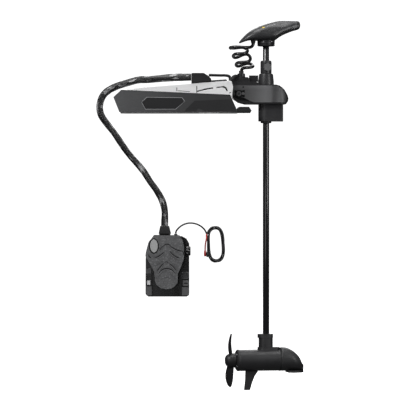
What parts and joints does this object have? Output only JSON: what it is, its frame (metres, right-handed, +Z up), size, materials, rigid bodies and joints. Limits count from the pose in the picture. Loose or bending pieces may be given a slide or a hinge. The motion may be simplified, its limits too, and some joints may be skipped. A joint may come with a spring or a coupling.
{
  "type": "trolling motor",
  "caption": "Bow-mount electric trolling motor: fold-over deck mount, steerable sliding shaft, thruster with propeller, and a foot pedal on its cable sleeve.",
  "frame": {"origin": "centre of the deck face, the underside of the mount's base plate", "axes": "+X over the bow, towards the shaft; +Y across the boat; +Z up, along the shaft, out of the deck"},
  "size_m": [0.9064, 0.245, 1.617],
  "materials": {
    "aluminium_bright": "bright drawn aluminium, fine brushed",
    "cover_charcoal": "fine moulded texture",
    "black_plastic": "satin",
    "black_rubber": "matte",
    "steel": "turned",
    "sleeve_braid": "braided monofilament, glossy strands",
    "pedal_gloss": "gloss",
    "pedal_frame": "satin",
    "pedal_pad": "stippled",
    "lead_black": "satin jacket",
    "terminal_red": "semi gloss",
    "black_satin": "satin",
    "housing_grey": "fine satin",
    "bearing_plastic": "satin",
    "cord_black": "satin jacket",
    "gear_brass": "cut",
    "shaft_gloss": "polished composite",
    "head_satin": "satin",
    "circuit_green": "solder mask",
    "motor_satin": "fine texture",
    "motor_paint": "powder coat",
    "magnet": "matte",
    "armature_steel": "laminations and varnished winding",
    "prop_black": "satin",
    "button_grey": "satin",
    "switch_silver": "satin"
  },
  "bodies": {
    "mount_base": {"base_plate": "aluminium_bright", "rail_far": "aluminium_bright", "rail_near": "aluminium_bright", "side_cover_far": "cover_charcoal", "side_cover_near": "cover_charcoal", "bow_rest": "black_plastic", "rear_pivot_pin": "steel", "lift_assist_spring": "steel", "cable_clamp": "black_plastic", "cable_conduit": "black_rubber", "cable_sleeve": "sleeve_braid", "pedal_boot": "black_rubber", "pedal_base": "pedal_gloss", "pedal_sole_plate": "black_rubber", "foot_pivot_pin": "steel", "power_lead_run": "lead_black", "power_lead_coil": "lead_black", "lead_terminal_red": "terminal_red"},
    "release_lever": {"release_lever": "black_plastic"},
    "lift_arm": {"lift_arm": "aluminium_bright"},
    "housing": {"steering_housing": "black_satin", "housing_panel_far": "housing_grey", "housing_panel_near": "housing_grey", "housing_top_cover": "black_plastic", "tilt_pin": "steel", "gearbox_cover": "black_satin", "sleeve_bushing": "bearing_plastic", "steering_motor": "steel", "cord_gland": "black_plastic", "coil_cord": "cord_black"},
    "steer_pinion": {"steer_pinion": "gear_brass"},
    "drive": {"steer_gear": "gear_brass", "drive_sleeve": "black_satin", "depth_collar": "black_satin"},
    "depth_knob": {"depth_knob": "housing_grey"},
    "shaft": {"shaft_tube": "shaft_gloss", "head_base": "head_satin", "head_cover": "head_satin", "head_end_cap": "black_plastic", "head_board": "circuit_green", "tower": "motor_satin", "motor_tube": "motor_paint", "rear_end_cap": "motor_paint", "rear_bearing": "steel", "shaft_seal": "black_rubber", "front_bearing_plate": "aluminium_bright", "field_magnets": "magnet", "brush_holder": "black_plastic", "nose_cone": "motor_satin", "skeg": "motor_satin"},
    "prop": {"armature": "armature_steel", "propeller": "prop_black", "drive_pin": "steel", "prop_nut": "steel"},
    "footplate": {"footplate": "pedal_frame", "foot_pad": "pedal_pad"},
    "momentary_button": {"momentary_button": "button_grey"},
    "speed_knob": {"speed_knob": "black_rubber"},
    "run_mode_slider": {"run_mode_slider": "switch_silver"},
    "prop_switch": {"prop_button": "housing_grey"}
  },
  "joints": [
    {"name": "stow_arm", "type": "hinge", "parent": "mount_base", "child": "lift_arm", "pos_m": [-0.03, 0, 0.082], "axis": [0, 1, 0], "range_deg": [-180, 0]},
    {"name": "stow_tilt", "type": "hinge", "parent": "lift_arm", "child": "housing", "pos_m": [0.235, 0, 0.082], "axis": [0, 1, 0], "range_deg": [0, 90]},
    {"name": "release_lever_swing", "type": "hinge", "parent": "mount_base", "child": "release_lever", "pos_m": [0.156, 0, 0.013], "axis": [0, 1, 0], "range_deg": [-20, 0], "stiffness_Nm_per_rad": 0.5},
    {"name": "steer", "type": "hinge", "parent": "housing", "child": "drive", "pos_m": [0.3545, 0, 0], "axis": [0, 0, 1], "range_deg": [-180, 180]},
    {"name": "steer_pinion_spin", "type": "hinge", "parent": "housing", "child": "steer_pinion", "pos_m": [0.403, 0, 0.052], "axis": [0, 0, 1], "range_deg": [-545, 545]},
    {"name": "depth", "type": "slide", "parent": "drive", "child": "shaft", "axis": [0, 0, 1], "range_m": [-0.015, 0.28], "deforming": ["coil_cord"]},
    {"name": "depth_knob_turn", "type": "hinge", "parent": "drive", "child": "depth_knob", "pos_m": [0.3545, 0, 0.199], "axis": [0.1736, -0.9848, 0], "range_deg": [-360, 0]},
    {"name": "prop_spin", "type": "hinge", "parent": "shaft", "child": "prop", "pos_m": [0.3545, 0, -1.082], "axis": [0.9848, 0.1736, 0], "continuous": true},
    {"name": "pedal_rock", "type": "hinge", "parent": "mount_base", "child": "footplate", "pos_m": [-0.081, -0.108, -0.665], "axis": [1, 0, 0], "range_deg": [-15.5, 15.5]},
    {"name": "momentary_press", "type": "slide", "parent": "footplate", "child": "momentary_button", "axis": [0, 1, 0], "range_m": [0, 0.003], "stiffness_N_per_m": 300},
    {"name": "speed_turn", "type": "hinge", "parent": "mount_base", "child": "speed_knob", "pos_m": [0.012, -0.112, -0.602], "axis": [1, 0, 0], "range_deg": [-135, 135]},
    {"name": "run_mode_slide", "type": "slide", "parent": "mount_base", "child": "run_mode_slider", "axis": [0, 0, 1], "range_m": [0, 0.016]},
    {"name": "prop_switch_press", "type": "slide", "parent": "mount_base", "child": "prop_switch", "axis": [0, 1, 0], "range_m": [0, 0.002], "stiffness_N_per_m": 300}
  ],
  "couplings": [
    {"joint": "stow_tilt", "follows": "stow_arm", "ratio": -0.5},
    {"joint": "steer_pinion_spin", "follows": "steer", "ratio": -3},
    {"joint": "pedal_rock", "follows": "steer", "ratio": 0.083333}
  ]
}
